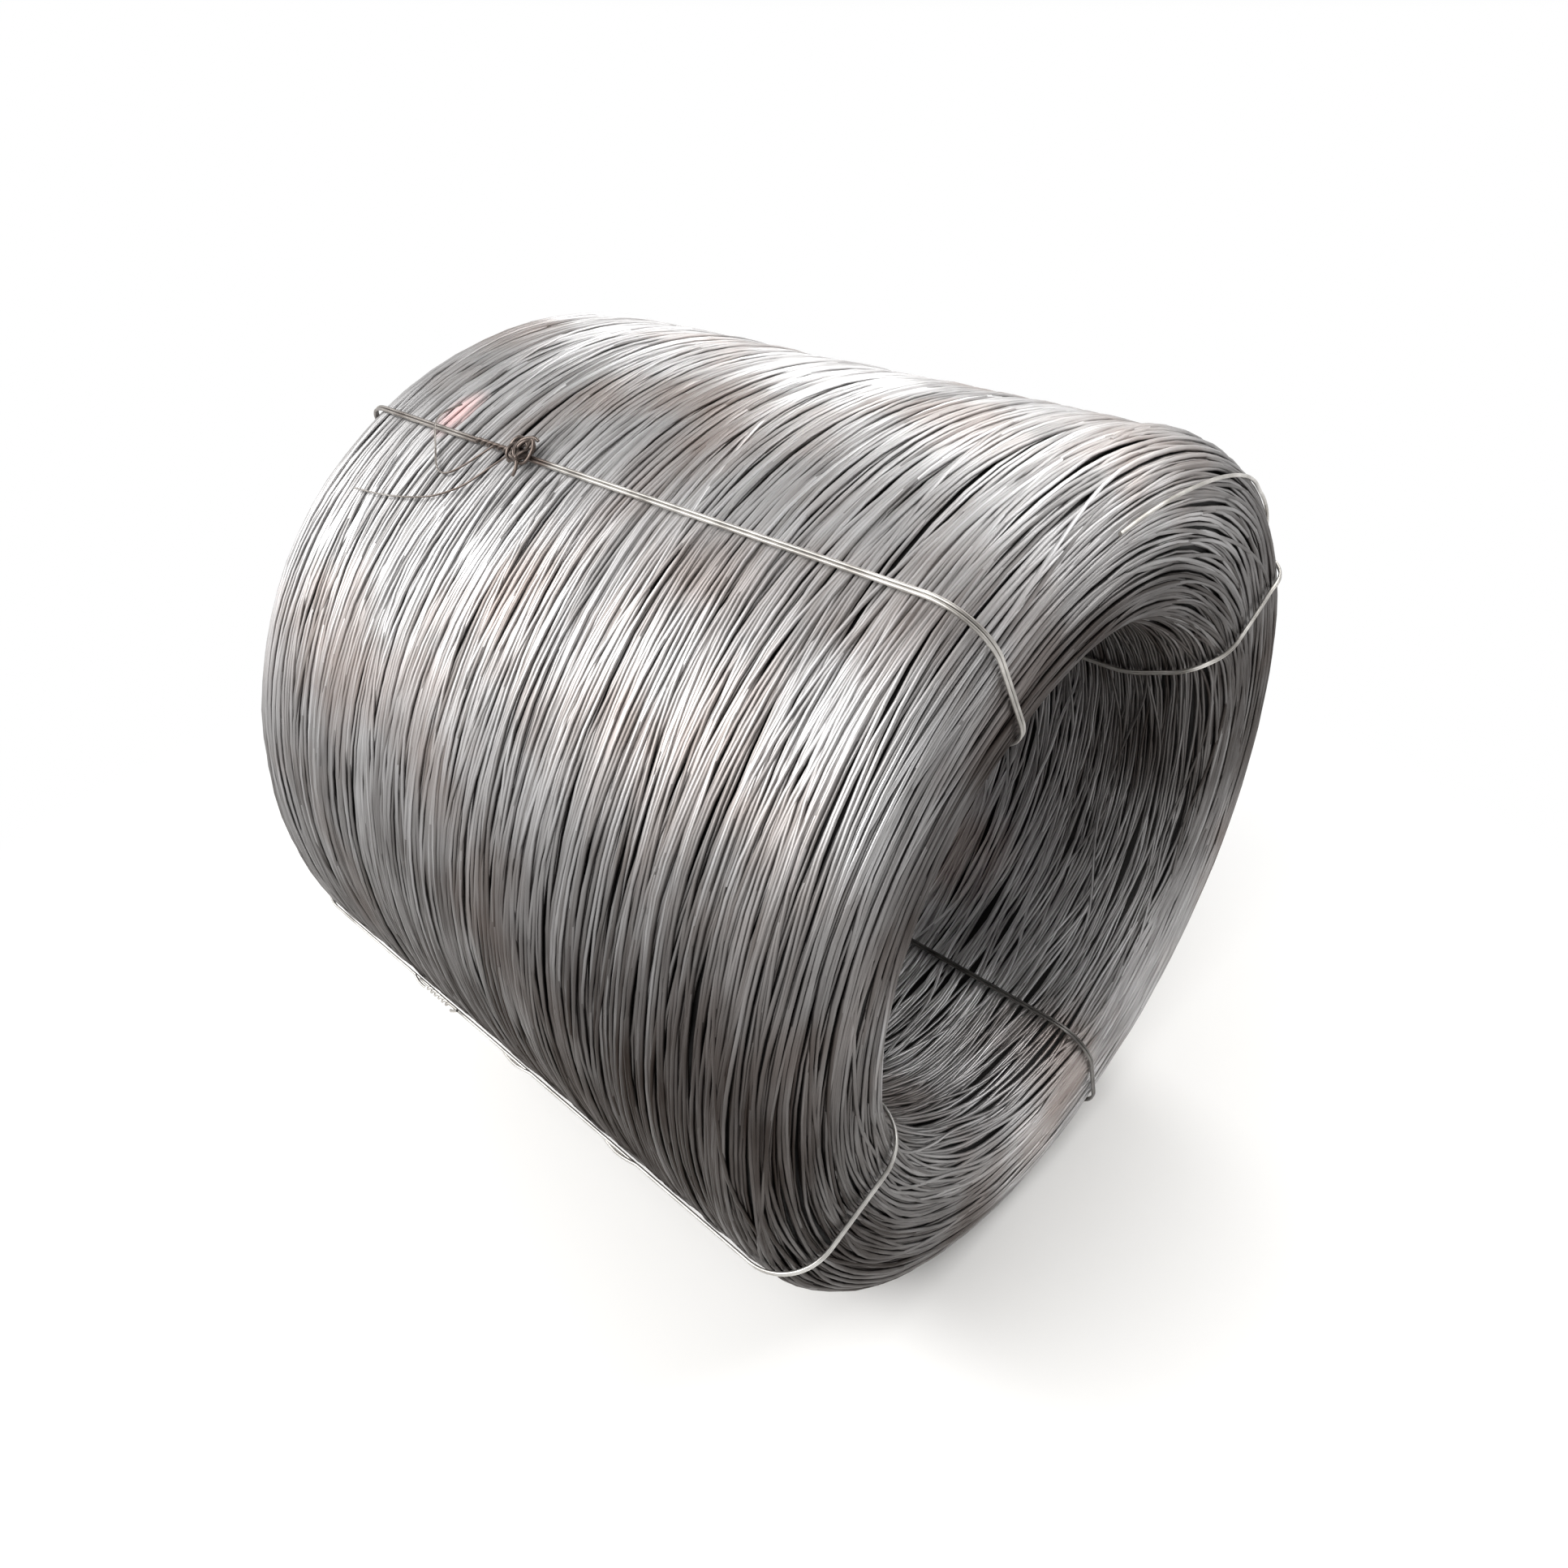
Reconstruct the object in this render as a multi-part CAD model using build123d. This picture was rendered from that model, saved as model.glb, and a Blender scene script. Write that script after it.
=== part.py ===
"""Coil of bright wire rod, lying on its side and bound by four doubled tie wires.

The coil is one turned solid: a thick ring of loose turns with its bore along X. Its ends are rounded,
and its barrel and ends show the rows of turns as ridges. Each tie is soft wire folded double, passed
through the bore and round the ring, with its ends twisted together on the barrel. The coil rests on the
floor at Z = 0, with its axis level and along X.
"""
import math
import os

from build123d import *

# The rod and the coil that it makes, in millimetres.
rod_d = 5.5
coil_od = 1250.0
bore_d = 760.0
coil_length = 1120.0
outer_corner_r = 70.0
inner_corner_r = 70.0

# Rows of turns: one ridge stands for several rows of rod that lie side by side.
rods_per_end_ridge = 12
rods_per_barrel_ridge = 15
ridge_depth = 1.5 * rod_d

# Tie wires: two strands of soft wire side by side, lying just clear of the turns, which go round each
# corner of the coil in small bends.
tie_d = 4.5
strand_sides = 6
tie_clearance = 0.3
corner_bends = 9

# The twist that closes a tie, on the barrel, and the strand ends that stand out of it.
twist_length = 50.0
twist_half_turns = 4
steps_per_half_turn = 3
cut_end_length = 30.0
cut_end_angle = 24.0

# Angle of each tie round the coil, from the top towards +Y, and its twist's distance from the +X end.
tie_places = {
    "tie_wire_top": (-31.0, 785.0),
    "tie_wire_back": (61.0, 110.0),
    "tie_wire_under": (160.0, 710.0),
    "tie_wire_front": (-113.0, 740.0),
}

# Worked out from the sizes above.
outer_r = coil_od / 2
bore_r = bore_d / 2
half_length = coil_length / 2
axis_height = outer_r
strand_spacing = tie_d * math.cos(math.pi / strand_sides)
end_flat = outer_r - bore_r - outer_corner_r - inner_corner_r
end_path = math.pi / 2 * (outer_corner_r + inner_corner_r) + end_flat
barrel_length = coil_length - 2 * outer_corner_r
end_ridges = round(end_path / (rods_per_end_ridge * rod_d))
barrel_ridges = round(barrel_length / (rods_per_barrel_ridge * rod_d))


def end_point(distance, inset):
    """Point (x, radius) on the +X end, at a distance along it from the barrel and inset from its crests."""
    outer_arc = math.pi / 2 * outer_corner_r
    if distance < outer_arc:
        angle = distance / outer_corner_r
        reach = outer_corner_r - inset
        return (
            half_length - outer_corner_r + reach * math.sin(angle),
            outer_r - outer_corner_r + reach * math.cos(angle),
        )
    if distance < outer_arc + end_flat:
        return (half_length - inset, outer_r - outer_corner_r - (distance - outer_arc))
    angle = (distance - outer_arc - end_flat) / inner_corner_r
    reach = inner_corner_r - inset
    return (
        half_length - inner_corner_r + reach * math.cos(angle),
        bore_r + inner_corner_r - reach * math.sin(angle),
    )


def end_profile():
    """Zigzag of ridges along the +X end, from the crest at the barrel to the crest at the bore."""
    half_pitch = end_path / end_ridges / 2
    steps = range(2 * end_ridges + 1)
    return [end_point(step * half_pitch, ridge_depth * (step % 2)) for step in steps]


def barrel_profile():
    """Zigzag of ridges along the barrel, between the crests at its two ends, from -X to +X."""
    half_pitch = barrel_length / barrel_ridges / 2
    steps = range(1, 2 * barrel_ridges)
    return [(step * half_pitch - barrel_length / 2, outer_r - ridge_depth * (step % 2)) for step in steps]


def wire_rod_coil():
    """The ring of turns: its half section turned about the X axis."""
    end = end_profile()
    far_end = [(-x, radius) for x, radius in reversed(end)]
    section = make_face(Polyline(*end, *far_end, *barrel_profile(), close=True))
    return revolve(section, Axis.X)


def strand_section(x, y, rise):
    """Section of one strand across X, raised above the barrel, with flats where the strands meet."""
    place = Plane(origin=(x, y, outer_r + tie_clearance + rise), x_dir=(0, 1, 0), z_dir=(1, 0, 0))
    return place * RegularPolygon(tie_d / 2, strand_sides, major_radius=True, rotation=180 / strand_sides)


def corner_run(side, corner_r, radius, first_angle):
    """Bends of a tie round one corner, which has its centre at this radius, from an angle above +X."""
    bend = 90 / corner_bends
    reach = (corner_r + tie_clearance + tie_d / 2) / math.cos(math.radians(bend / 2))
    points = []
    for step in range(corner_bends):
        angle = math.radians(first_angle - bend * (step + 0.5))
        x = side * (half_length - corner_r) + reach * math.cos(angle)
        points.append((x, 0, radius + reach * math.sin(angle)))
    return points


def tie_run(x_twist):
    """The doubled wire round the ring in the XZ plane, from one end of its twist to the other."""
    top = outer_r + tie_clearance + tie_d / 2
    x_start = x_twist + twist_length / 2
    x_stop = x_twist - twist_length / 2
    outer_centre = outer_r - outer_corner_r
    inner_centre = bore_r + inner_corner_r
    path = Polyline(
        (x_start, 0, top),
        *corner_run(1, outer_corner_r, outer_centre, 90),
        *corner_run(1, inner_corner_r, inner_centre, 0),
        *corner_run(-1, inner_corner_r, inner_centre, -90),
        *corner_run(-1, outer_corner_r, outer_centre, 180),
        (x_stop, 0, top),
    )
    left = strand_section(x_start, -strand_spacing / 2, tie_d / 2)
    right = strand_section(x_start, strand_spacing / 2, tie_d / 2)
    return sweep(left + right, path=path, transition=Transition.RIGHT)


def twisted_strand(x_twist, side):
    """One strand of the closing twist, which passes over and under the other as it lies on the turns."""
    offset = side * strand_spacing / 2
    steps = twist_half_turns * steps_per_half_turn
    sections = []
    for step in range(steps + 1):
        x = x_twist + twist_length * (step / steps - 0.5)
        turn = math.pi * step / steps_per_half_turn
        middle_rise = (tie_d + strand_spacing * abs(math.sin(turn))) / 2
        sections.append(strand_section(x, offset * math.cos(turn), middle_rise + offset * math.sin(turn)))
    return loft(sections, ruled=True)


def cut_end(x_twist, side):
    """The cut end of one strand, which leaves the tie beside its twist and stands out to one side."""
    root = strand_section(x_twist + side * (twist_length / 2 + tie_d), 0, tie_d / 2)
    slant = math.radians(cut_end_angle)
    return extrude(root, amount=cut_end_length, dir=(side * math.cos(slant), math.sin(slant), 0))


def tie_wire(angle, twist_distance):
    """One tie, closed by its twist and turned to its place round the coil."""
    x_twist = half_length - twist_distance
    tie = tie_run(x_twist)
    for side in (-1, 1):
        tie += twisted_strand(x_twist, side) + cut_end(x_twist, side)
    return Pos(0, 0, axis_height) * Rot(-angle, 0, 0) * tie


def main():
    """Builds every piece where it lies and writes one file for each."""
    os.makedirs("parts", exist_ok=True)
    coil = Pos(0, 0, axis_height) * wire_rod_coil()
    export_step(coil, "parts/wire_rod_coil.step")
    for name, (angle, twist_distance) in tie_places.items():
        export_step(tie_wire(angle, twist_distance), f"parts/{name}.step")


main()
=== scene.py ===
"""Looks of a coil of bright wire rod: its wound turns, its tie wires, the floor, the light and the camera.

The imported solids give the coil's size and place. The turns are wound by Geometry Nodes round the outline
of the coil's section, over a dark core, and each tie is a pair of soft wires with a twisted knot.
"""
from __future__ import annotations

import logging
import math
from dataclasses import dataclass
from typing import Any

import bmesh
import bpy
from bpy.types import ID, Curve, Material, Node, NodeSocket, NodeTree, Object, Spline
from mathutils import Matrix, Vector

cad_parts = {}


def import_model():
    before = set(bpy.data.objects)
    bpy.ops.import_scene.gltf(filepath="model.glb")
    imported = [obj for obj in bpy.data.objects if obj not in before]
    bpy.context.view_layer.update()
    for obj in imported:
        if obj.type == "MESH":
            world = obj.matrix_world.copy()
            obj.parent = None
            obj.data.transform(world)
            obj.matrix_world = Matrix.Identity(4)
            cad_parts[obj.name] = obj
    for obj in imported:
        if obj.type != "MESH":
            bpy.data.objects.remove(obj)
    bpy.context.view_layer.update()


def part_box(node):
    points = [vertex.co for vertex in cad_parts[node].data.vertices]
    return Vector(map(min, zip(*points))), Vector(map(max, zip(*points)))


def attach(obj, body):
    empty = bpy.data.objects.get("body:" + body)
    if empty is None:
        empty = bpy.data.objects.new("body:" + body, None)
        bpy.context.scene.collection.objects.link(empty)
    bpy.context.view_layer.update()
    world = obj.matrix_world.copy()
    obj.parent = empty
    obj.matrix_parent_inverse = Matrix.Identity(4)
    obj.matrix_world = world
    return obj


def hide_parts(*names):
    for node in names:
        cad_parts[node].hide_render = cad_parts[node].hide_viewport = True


LOG = logging.getLogger("coil")

MM = 0.001
COIL_NODE = "wire_rod_coil"
TONE = "tone"
WHITE = "FFFFFF"

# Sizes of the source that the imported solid's box doesn't give.
ROD_D = 5.5 * MM
BORE_D = 760 * MM
CORNER_R = 70 * MM

# Distance between the points that draw the outline, and how fast the rod's tone changes along a turn.
OUTLINE_STEP = 6 * MM
TONE_CHANGE = 1.7


def linear(hex_colour: str) -> tuple[float, float, float, float]:
    """Turns an sRGB hex colour into a linear colour.

    Args:
        hex_colour: Six hex digits, red first.

    Returns:
        Red, green, blue and an alpha of 1, in linear light.
    """
    parts = [int(hex_colour[i : i + 2], 16) / 255 for i in (0, 2, 4)]
    red, green, blue = (c / 12.92 if c <= 0.04045 else ((c + 0.055) / 1.055) ** 2.4 for c in parts)
    return (red, green, blue, 1.0)


def add_node(tree: NodeTree, kind: str, inputs: Any = (), **settings: Any) -> Node:
    """Adds one node to a tree, with its settings, its values and its links.

    Args:
        tree: The shader or geometry tree that the node goes into.
        kind: The node's type name.
        inputs: Values, sockets or nodes by input name, or a list of them in order.
        settings: The node's own properties.

    Returns:
        The new node. A node given as an input is linked from its first output in use.
    """
    node = tree.nodes.new(kind)
    for name, value in settings.items():
        setattr(node, name, value)
    sockets = [socket for socket in node.inputs if socket.enabled]
    pairs = inputs.items() if isinstance(inputs, dict) else enumerate(inputs)
    for key, value in pairs:
        target = sockets[key] if isinstance(key, int) else next(s for s in sockets if s.name == key)
        if isinstance(value, Node):
            value = next(s for s in value.outputs if s.enabled)
        if isinstance(value, NodeSocket):
            tree.links.new(value, target)
        else:
            target.default_value = value
    return node


def new_material(name: str) -> tuple[Material, NodeTree]:
    """Starts a material with an empty node tree.

    Args:
        name: The material's name.

    Returns:
        The material and its tree.
    """
    material = bpy.data.materials.new(name)
    material.use_nodes = True
    material.node_tree.nodes.clear()
    return material, material.node_tree


def add_object(name: str, data: ID) -> Object:
    """Makes an object from its data and puts it into the scene.

    Args:
        name: Name of the object and of its data.
        data: Its mesh, curve, lamp or camera.

    Returns:
        The new object.
    """
    data.name = name
    thing = bpy.data.objects.new(name, data)
    bpy.context.scene.collection.objects.link(thing)
    return thing


def keep_mesh(name: str, maker: Object) -> Object:
    """Keeps what a curve makes as a plain mesh, and takes the curve out of the scene.

    Args:
        name: Name of the piece.
        maker: The curve's object, which is in the scene.

    Returns:
        The new piece.
    """
    depsgraph = bpy.context.evaluated_depsgraph_get()
    mesh = bpy.data.meshes.new_from_object(maker.evaluated_get(depsgraph))
    bpy.data.objects.remove(maker)
    return add_object(name, mesh)


def add_spline(curve: Curve, kind: str, places: list[Any], closed: bool = False) -> Spline:
    """Adds one spline to a curve.

    Args:
        curve: The curve that it goes into.
        kind: POLY or NURBS.
        places: Its points, each with x, y and z.
        closed: Whether its last point joins its first.

    Returns:
        The new spline.
    """
    spline = curve.splines.new(kind)
    spline.points.add(len(places) - 1)
    for point, place in zip(spline.points, places):
        point.co = (*place, 1.0)
    spline.use_cyclic_u = closed
    return spline


@dataclass(frozen=True)
class CoilSection:
    """The coil's section through its axis, in metres: a rounded oblong set off from the axis.

    A distance round it starts at the +X end of the barrel and runs along the barrel, down the -X end, along
    the bore and up the +X end.
    """

    half_length: float
    outer_r: float
    bore_r: float
    corner_r: float
    axis_height: float
    barrel_ridges: int = 12
    end_ridges: int = 5

    @classmethod
    def from_frame(cls) -> CoilSection:
        """Reads the coil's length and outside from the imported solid.

        Returns:
            The section, with the bore and corners of the source.
        """
        low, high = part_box(COIL_NODE)
        outer_r = (high[1] - low[1]) / 2
        return cls((high[0] - low[0]) / 2, outer_r, BORE_D / 2, CORNER_R, (low[2] + high[2]) / 2)

    @property
    def barrel(self) -> float:
        """Length of the straight part of the barrel, and of the bore."""
        return 2 * (self.half_length - self.corner_r)

    @property
    def end_flat(self) -> float:
        """Width of the flat part of an end."""
        return self.outer_r - self.bore_r - 2 * self.corner_r

    @property
    def corner(self) -> float:
        """Length of the arc round one corner."""
        return math.pi / 2 * self.corner_r

    @property
    def end(self) -> float:
        """Length of one end, from the barrel to the bore."""
        return 2 * self.corner + self.end_flat

    @property
    def perimeter(self) -> float:
        """Length of the whole outline."""
        return 2 * (self.barrel + self.end)

    def surface(self, distance: float) -> tuple[Vector, Vector]:
        """Finds a point on the outline.

        Args:
            distance: How far round the outline it lies.

        Returns:
            The point and the outward direction there, both as x and distance from the axis.
        """
        left = distance % self.perimeter
        spot = Vector((self.half_length - self.corner_r, self.outer_r))
        heading = math.pi
        runs = (self.barrel, None, self.end_flat, None, self.barrel, None, self.end_flat, None)
        for run in runs:
            step = min(left, self.corner if run is None else run)
            outward = Vector((math.sin(heading), -math.cos(heading)))
            if run is None:
                spot = spot - outward * self.corner_r
                heading += step / self.corner_r
                outward = Vector((math.sin(heading), -math.cos(heading)))
                spot = spot + outward * self.corner_r
            else:
                spot = spot + Vector((math.cos(heading), math.sin(heading))) * step
            left -= step
            if left <= 0:
                break
        return spot, outward

    def ridge(self, distance: float) -> float:
        """Finds how deep in the ridges a point on the outline lies.

        Args:
            distance: How far round the outline it lies.

        Returns:
            0 on a crest, up to 1 in a valley. The bore has no ridges.
        """
        distance %= self.perimeter
        if distance < self.barrel:
            share = distance / self.barrel * self.barrel_ridges
        elif distance < self.barrel + self.end:
            share = (distance - self.barrel) / self.end * self.end_ridges
        elif distance < 2 * self.barrel + self.end:
            share = 0.0
        else:
            share = (distance - 2 * self.barrel - self.end) / self.end * self.end_ridges
        return 0.5 - 0.5 * math.cos(math.tau * share)

    def outline(self, lift: float, step: float, ridge_depth: float = 0.0) -> list[Vector]:
        """Points round the section.

        Args:
            lift: How far outside the section the points lie.
            step: Distance between two points.
            ridge_depth: How deep the valleys between the ridges are.

        Returns:
            Pairs of x and distance from the axis, without a repeat of the first.
        """
        count = round(self.perimeter / step)
        points = []
        for i in range(count):
            distance = self.perimeter * i / count
            spot, outward = self.surface(distance)
            points.append(spot + outward * (lift - ridge_depth * self.ridge(distance)))
        return points

    def place(self, x: float, r: float, angle: float) -> Vector:
        """Point at x and distance r from the axis, at an angle in radians from the top towards +Y."""
        return Vector((x, r * math.sin(angle), self.axis_height + r * math.cos(angle)))


@dataclass(frozen=True)
class BrightRodFinish:
    """Galvanised steel rod, drawn smooth: a zinc skin that shines in streaks, with dull and warm patches.

    Painted shade darkens the lower side towards -Y, the bore's upper part and the near end's right side, and
    one smear of red paint marks the far end. A side is a direction from the coil's middle, whose length sets
    how soon its painted shade starts. A span is where a pattern starts and where it is full, and a pair on
    turns is its strength on the dullest and on the brightest turns.
    """

    name: str = "galvanised_steel_rod"
    zinc: str = "DAD9D9"
    dull_zinc: str = "8E8C8B"
    warm: str = "A08F86"
    # The colour of the painted shade.
    shaded_colour: str = "352E2A"
    paint: str = "E6C0BE"
    roughness: float = 0.46
    dull_roughness: float = 0.58
    streak_mm: float = 130.0
    patch_mm: float = 240.0
    shade_span: tuple[float, float] = (0.74, 1.26)
    warm_span: tuple[float, float] = (0.48, 0.70)
    warm_most: float = 0.6
    middle: tuple[float, float, float] = (0.0, 0.0, 0.625)
    # Painted shade on the lower side towards -Y.
    shaded_low_side: tuple[float, float, float] = (0.32, -1.44, -0.69)
    shaded_low_span: tuple[float, float] = (0.50, 1.0)
    shaded_low_most: float = 0.97
    # Painted shade on the near end's right side.
    shaded_right_side: tuple[float, float, float] = (1.2, 1.2, -0.4)
    shaded_right_span: tuple[float, float] = (0.44, 0.92)
    shaded_right_heights: tuple[float, float] = (-0.34, 0.0)
    shaded_right_most: float = 0.82
    # Painted shade in the bore's upper part.
    shaded_bore_heights: tuple[float, float] = (-0.12, 0.18)
    shaded_bore_radii: tuple[float, float] = (0.59, 0.44)
    shaded_bore_most: float = 0.86
    # How strong the painted shade is on the dullest and on the brightest turns.
    shade_on_turns: tuple[float, float] = (1.1, 0.84)
    paint_spot: tuple[float, float, float] = (-0.352, -0.290, 1.178)
    paint_reach_mm: tuple[float, float, float] = (34.0, 66.0, 44.0)
    paint_span: tuple[float, float] = (1.0, 0.2)
    paint_on_turns: tuple[float, float] = (0.5, 1.1)

    def build(self) -> Material:
        """Makes the material.

        Returns:
            A metal whose tone changes from turn to turn and along each turn.
        """
        material, tree = new_material(self.name)
        place = add_node(tree, "ShaderNodeTexCoord").outputs["Object"]
        shade, zinc = self.zinc_skin(tree, place)
        painted_shade = self.painted_shade(tree, place, shade)
        smear = self.smear(tree, place, shade)
        # Mixes the painted shade into the zinc's colour.
        shaded_zinc = add_node(tree, "ShaderNodeMix", [painted_shade, zinc, linear(self.shaded_colour)], data_type="RGBA")
        colour = add_node(tree, "ShaderNodeMix", [smear, shaded_zinc, linear(self.paint)], data_type="RGBA")
        bare = add_node(tree, "ShaderNodeMath", [1.0, smear], operation="SUBTRACT")
        roughness = add_node(
            tree, "ShaderNodeMapRange", [shade, 0.0, 1.0, self.dull_roughness, self.roughness]
        )
        metal = {"Base Color": colour, "Roughness": roughness, "Metallic": bare}
        steel = add_node(tree, "ShaderNodeBsdfPrincipled", metal)
        add_node(tree, "ShaderNodeOutputMaterial", {"Surface": steel})
        return material

    def zinc_skin(self, tree: NodeTree, place: Any) -> tuple[Node, Node]:
        """Adds the clean rod, with streaks that run along the turns, and warm patches.

        Args:
            tree: The material's tree.
            place: Socket that gives the place on the piece.

        Returns:
            The node that gives 0 where the zinc is dull and 1 where it is bright, and the colour's node.
        """
        tone = add_node(tree, "ShaderNodeAttribute", attribute_name=TONE).outputs["Fac"]
        streaks = add_node(
            tree,
            "ShaderNodeTexNoise",
            {"Vector": place, "W": tone, "Scale": 1 / (self.streak_mm * MM), "Detail": 2.0},
            noise_dimensions="4D",
        )
        shade = add_node(tree, "ShaderNodeMath", [tone, streaks], operation="ADD")
        shade = add_node(tree, "ShaderNodeMapRange", [shade, *self.shade_span, 0.0, 1.0])
        zinc = add_node(
            tree, "ShaderNodeMix", [shade, linear(self.dull_zinc), linear(self.zinc)], data_type="RGBA"
        )
        patches = add_node(
            tree, "ShaderNodeTexNoise", {"Vector": place, "Scale": 1 / (self.patch_mm * MM), "Detail": 3.0}
        )
        warmth = add_node(tree, "ShaderNodeMapRange", [patches, *self.warm_span, 0.0, self.warm_most])
        return shade, add_node(tree, "ShaderNodeMix", [warmth, zinc, linear(self.warm)], data_type="RGBA")

    def painted_shade(self, tree: NodeTree, place: Any, shade: Any) -> Node:
        """Adds the share of painted shade: on the lower side towards -Y, on the near end's right side and in
        the bore's upper part.

        Args:
            tree: The material's tree.
            place: Socket that gives the place on the piece.
            shade: Node that gives 0 where the zinc is dull.

        Returns:
            The node that gives the share, up to 1.
        """
        off = add_node(tree, "ShaderNodeVectorMath", [place, self.middle], operation="SUBTRACT")
        height = add_node(tree, "ShaderNodeSeparateXYZ", [off]).outputs["Z"]

        # Painted shade on the lower side towards -Y.
        shaded_low = add_node(tree, "ShaderNodeVectorMath", [off, self.shaded_low_side], operation="DOT_PRODUCT")
        shaded_low = [shaded_low.outputs["Value"], *self.shaded_low_span, 0.0, self.shaded_low_most]
        shaded_low = add_node(tree, "ShaderNodeMapRange", shaded_low)

        # Painted shade on the near end's right side, which fades out below the axis.
        right = add_node(tree, "ShaderNodeVectorMath", [off, self.shaded_right_side], operation="DOT_PRODUCT")
        right = [right.outputs["Value"], *self.shaded_right_span, 0.0, self.shaded_right_most]
        right = add_node(tree, "ShaderNodeMapRange", right)
        above = add_node(tree, "ShaderNodeMapRange", [height, *self.shaded_right_heights, 0.0, 1.0])
        right = add_node(tree, "ShaderNodeMath", [right, above], operation="MULTIPLY")

        # Painted shade in the bore's upper part and round its mouths.
        flat = add_node(tree, "ShaderNodeVectorMath", [off, (0.0, 1.0, 1.0)], operation="MULTIPLY")
        radius = add_node(tree, "ShaderNodeVectorMath", [flat], operation="LENGTH").outputs["Value"]
        high = add_node(tree, "ShaderNodeMapRange", [height, *self.shaded_bore_heights, 0.0, self.shaded_bore_most])
        inside = add_node(tree, "ShaderNodeMapRange", [radius, *self.shaded_bore_radii, 0.0, high])

        # The painted shade is the strongest of the three, and it is weaker on the bright turns.
        painted_shade = add_node(tree, "ShaderNodeMath", [shaded_low, right], operation="MAXIMUM")
        painted_shade = add_node(tree, "ShaderNodeMath", [painted_shade, inside], operation="MAXIMUM")
        uneven = add_node(tree, "ShaderNodeMapRange", [shade, 0.0, 1.0, *self.shade_on_turns])
        return add_node(tree, "ShaderNodeMath", [painted_shade, uneven], operation="MULTIPLY", use_clamp=True)

    def smear(self, tree: NodeTree, place: Any, shade: Any) -> Node:
        """Adds the share of red paint, which is thinner on the dull turns.

        Args:
            tree: The material's tree.
            place: Socket that gives the place on the piece.
            shade: Node that gives 0 where the zinc is dull.

        Returns:
            The node that gives the share, up to 1.
        """
        reach = tuple(length * MM for length in self.paint_reach_mm)
        spot = add_node(tree, "ShaderNodeVectorMath", [place, self.paint_spot], operation="SUBTRACT")
        spot = add_node(tree, "ShaderNodeVectorMath", [spot, reach], operation="DIVIDE")
        spot = add_node(tree, "ShaderNodeVectorMath", [spot], operation="LENGTH").outputs["Value"]
        smear = add_node(tree, "ShaderNodeMapRange", [spot, *self.paint_span, 0.0, 1.0])
        worn = add_node(tree, "ShaderNodeMapRange", [shade, 0.0, 1.0, *self.paint_on_turns])
        return add_node(tree, "ShaderNodeMath", [smear, worn], operation="MULTIPLY", use_clamp=True)


@dataclass(frozen=True)
class CoreFinish:
    """The turns deep inside the coil, where no light reaches: steel painted nearly black as their shade."""

    name: str = "steel_in_deep_shade"
    # Near-black colours, which are painted shade of the turns deep inside.
    colour: str = "3A3938"
    deepest: str = "1E1D1D"
    patch_mm: float = 40.0
    roughness: float = 0.6
    metallic: float = 0.8

    def build(self) -> Material:
        """Makes the material.

        Returns:
            A dark metal in soft patches.
        """
        material, tree = new_material(self.name)
        place = add_node(tree, "ShaderNodeTexCoord").outputs["Object"]
        patches = add_node(tree, "ShaderNodeTexNoise", {"Vector": place, "Scale": 1 / (self.patch_mm * MM)})
        colour = add_node(
            tree, "ShaderNodeMix", [patches, linear(self.deepest), linear(self.colour)], data_type="RGBA"
        )
        metal = {"Base Color": colour, "Roughness": self.roughness, "Metallic": self.metallic}
        steel = add_node(tree, "ShaderNodeBsdfPrincipled", metal)
        add_node(tree, "ShaderNodeOutputMaterial", {"Surface": steel})
        return material


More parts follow.
